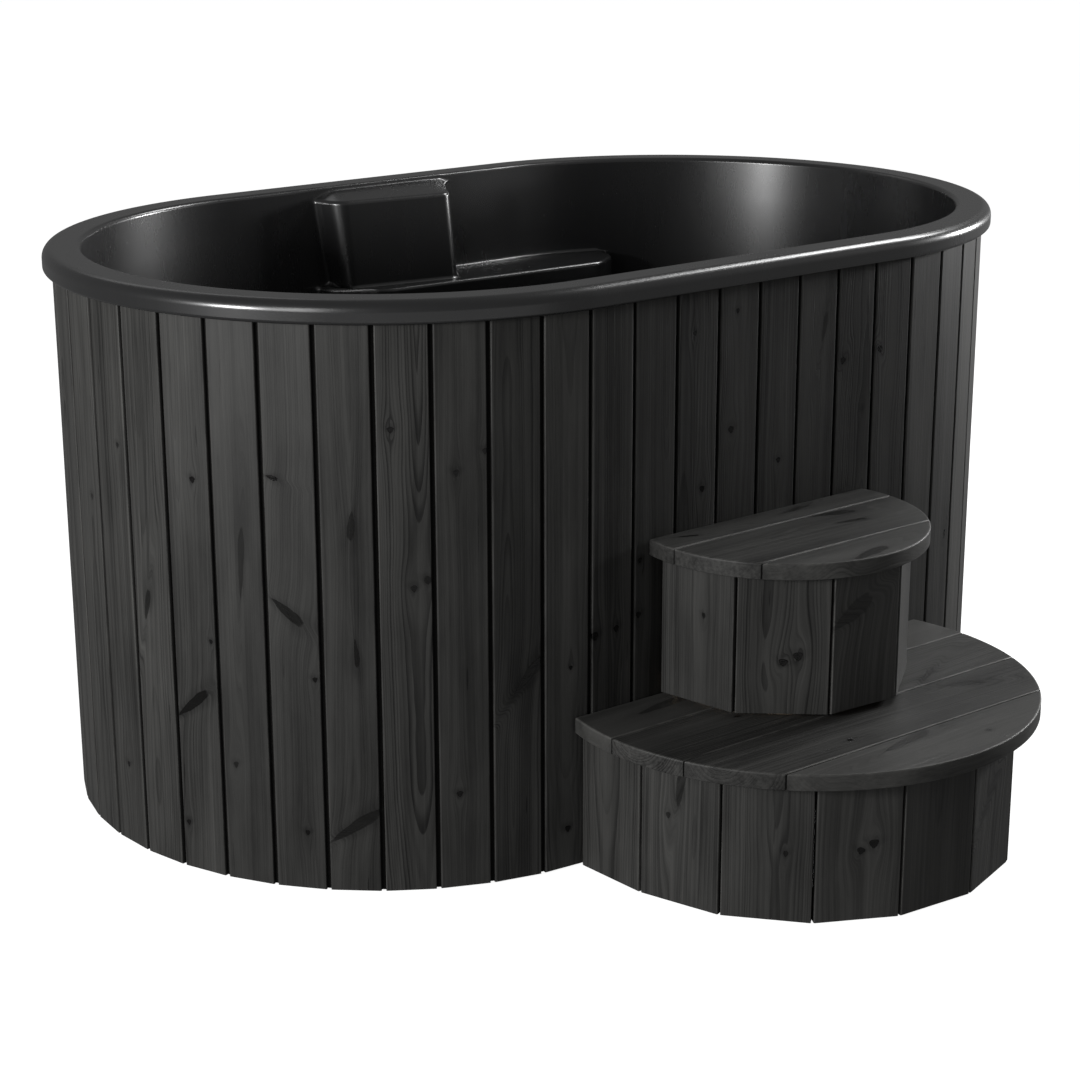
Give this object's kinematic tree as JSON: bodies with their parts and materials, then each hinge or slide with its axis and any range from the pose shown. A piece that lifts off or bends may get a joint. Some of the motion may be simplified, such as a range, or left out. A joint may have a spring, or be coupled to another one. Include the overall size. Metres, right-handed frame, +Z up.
{
  "type": "cold plunge tub",
  "caption": "Oval board-clad cold plunge tub with a one-piece moulded liner, a quarter-turn drain valve at the back and a loose two-tread entry step.",
  "frame": {"origin": "on the floor under the middle of the tub, on the underside of the middle base bearer", "axes": "+X along the tub, +Z up; the entry step is on the -Y side and the drain valve on the +Y side"},
  "size_m": [1.8794, 1.8538, 0.998],
  "materials": {
    "liner_shell": "moulded glass-fibre shell with a dark satin-gloss gel coat",
    "stained_wood": "spruce boards stained charcoal grey, matt, grain and knots showing",
    "raw_timber": "planed softwood, unfinished",
    "plywood": "birch plywood, sealed",
    "foam": "closed-cell foam sheet",
    "drain_plastic": "dark grey solvent-weld pipe fittings",
    "valve_plastic": "moulded black plastic",
    "seal_rubber": "moulded rubber",
    "steel": "stainless steel",
    "seat_plastic": "white low-friction plastic",
    "lever_grip": "dipped soft plastic"
  },
  "bodies": {
    "tub": {"base_bearers": "raw_timber", "base_deck": "plywood", "cladding_back": "stained_wood", "cladding_front": "stained_wood", "cladding_left_end": "stained_wood", "cladding_right_end": "stained_wood", "deck_screws": "steel", "drain_body": "drain_plastic", "drain_elbow": "drain_plastic", "drain_gasket": "seal_rubber", "drain_locknut": "drain_plastic", "drain_pipe": "drain_plastic", "drain_strainer": "steel", "drain_washer": "seal_rubber", "floor_insulation": "foam", "gland_nut": "steel", "hose_tail": "drain_plastic", "liner": "liner_shell", "lower_insulation": "foam", "lower_studs": "raw_timber", "mid_ring": "plywood", "strainer_screw": "steel", "top_ring": "plywood", "upper_insulation": "foam", "upper_studs": "raw_timber", "valve_body": "valve_plastic", "valve_seats": "seat_plastic", "wall_collar": "valve_plastic"},
    "valve_handle": {"valve_ball": "steel", "valve_stem": "steel", "valve_lever": "steel", "lever_sleeve": "lever_grip", "lever_nut": "steel"},
    "entry_step": {"lower_base_plate": "plywood", "lower_posts": "raw_timber", "lower_skirt_boards": "stained_wood", "lower_top_plate": "plywood", "lower_tread_board_1": "stained_wood", "lower_tread_board_2": "stained_wood", "lower_tread_board_3": "stained_wood", "lower_tread_board_4": "stained_wood", "lower_tread_screws": "steel", "upper_base_plate": "plywood", "upper_posts": "raw_timber", "upper_skirt_boards": "stained_wood", "upper_top_plate": "plywood", "upper_tread_board_1": "stained_wood", "upper_tread_board_2": "stained_wood", "upper_tread_board_3": "stained_wood", "upper_tread_screws": "steel"}
  },
  "joints": [
    {"name": "drain_valve_turn", "type": "hinge", "parent": "tub", "child": "valve_handle", "pos_m": [0.2457, 0.65, 0.103], "axis": [0, 0, -1], "range_deg": [0, 90]},
    {"name": "step_slide", "type": "slide", "parent": "tub", "child": "entry_step", "axis": [0, -1, 0], "range_m": [0, 0.5]}
  ]
}
